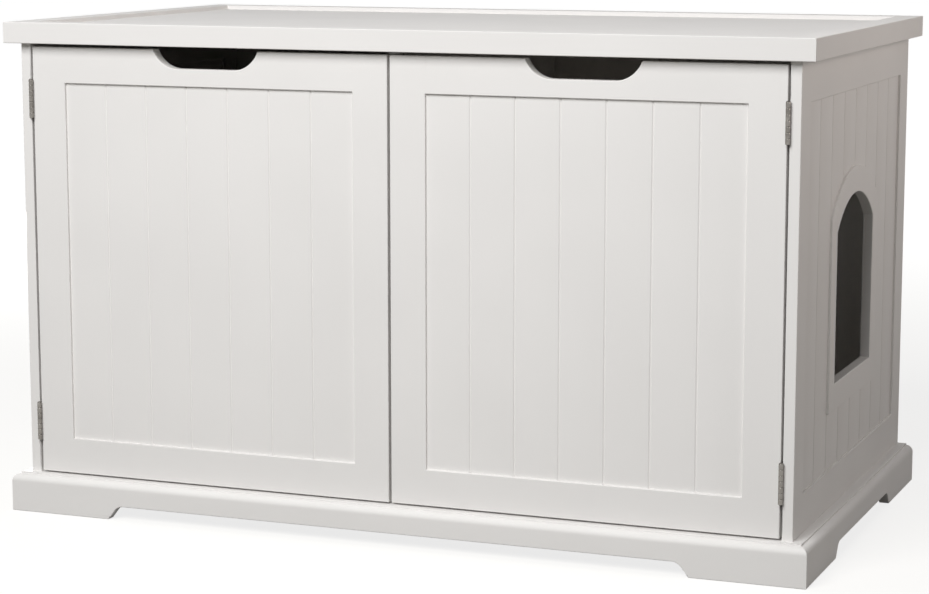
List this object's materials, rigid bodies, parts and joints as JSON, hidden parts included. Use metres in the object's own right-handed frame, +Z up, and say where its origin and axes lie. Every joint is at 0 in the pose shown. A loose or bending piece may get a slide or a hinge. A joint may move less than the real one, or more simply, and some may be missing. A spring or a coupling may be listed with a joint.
{
  "type": "cat litter box cabinet",
  "caption": "Low two-door cabinet that hides a litter box, with beaded frame-and-panel doors and sides, an arched cat entry in one side and bracket feet.",
  "frame": {"origin": "on the floor under the middle of the cabinet: the bottom centre of its bounding box", "axes": "+Z up, +X to the right as seen from the front, with the entry in the +X side, and +Y to the back, so the doors face -Y"},
  "size_m": [0.953, 0.544, 0.5715],
  "materials": {
    "white_paint": "white satin lacquer on fibreboard",
    "inside_laminate": "matt laminate on fibreboard",
    "raw_board": "raw fibreboard",
    "hinge_nickel": "polished nickel plate",
    "zinc_plate": "zinc-plated steel",
    "catch_plastic": "white moulded plastic"
  },
  "bodies": {
    "cabinet": {"back_panel": "raw_board", "bottom_panel": "inside_laminate", "corner_block_front_left": "raw_board", "corner_block_front_right": "raw_board", "corner_block_rear_left": "raw_board", "corner_block_rear_right": "raw_board", "entry_surround": "white_paint", "left_catch": "catch_plastic", "left_lower_hinge_frame_leaf": "hinge_nickel", "left_lower_hinge_pin": "hinge_nickel", "left_side_bead_panel": "white_paint", "left_side_bottom_rail": "white_paint", "left_side_front_stile": "white_paint", "left_side_rear_stile": "white_paint", "left_side_top_rail": "white_paint", "left_upper_hinge_frame_leaf": "hinge_nickel", "left_upper_hinge_pin": "hinge_nickel", "partition_wall": "inside_laminate", "plinth_back_cap": "white_paint", "plinth_back_skirt": "white_paint", "plinth_front_cap": "white_paint", "plinth_front_skirt": "white_paint", "plinth_left_cap": "white_paint", "plinth_left_skirt": "white_paint", "plinth_right_cap": "white_paint", "plinth_right_skirt": "white_paint", "right_catch": "catch_plastic", "right_lower_hinge_frame_leaf": "hinge_nickel", "right_lower_hinge_pin": "hinge_nickel", "right_side_bead_panel": "white_paint", "right_side_bottom_rail": "white_paint", "right_side_front_stile": "white_paint", "right_side_rear_stile": "white_paint", "right_side_top_rail": "white_paint", "right_upper_hinge_frame_leaf": "hinge_nickel", "right_upper_hinge_pin": "hinge_nickel", "top_back_rail": "white_paint", "top_centre_panel": "white_paint", "top_front_rail": "white_paint", "top_left_rail": "white_paint", "top_right_rail": "white_paint"},
    "left_door": {"left_door_bead_panel": "white_paint", "left_door_bottom_rail": "white_paint", "left_door_hinge_stile": "white_paint", "left_door_meeting_stile": "white_paint", "left_door_top_rail": "white_paint", "left_lower_hinge_door_leaf": "hinge_nickel", "left_strike_plate": "zinc_plate", "left_upper_hinge_door_leaf": "hinge_nickel"},
    "right_door": {"right_door_bead_panel": "white_paint", "right_door_bottom_rail": "white_paint", "right_door_hinge_stile": "white_paint", "right_door_meeting_stile": "white_paint", "right_door_top_rail": "white_paint", "right_lower_hinge_door_leaf": "hinge_nickel", "right_strike_plate": "zinc_plate", "right_upper_hinge_door_leaf": "hinge_nickel"}
  },
  "joints": [
    {"name": "left_door_hinge", "type": "hinge", "parent": "cabinet", "child": "left_door", "pos_m": [-0.44425, -0.25975, 0.2955], "axis": [0, 0, -1], "range_deg": [0, 180]},
    {"name": "right_door_hinge", "type": "hinge", "parent": "cabinet", "child": "right_door", "pos_m": [0.44425, -0.25975, 0.2955], "axis": [0, 0, 1], "range_deg": [0, 180]}
  ]
}
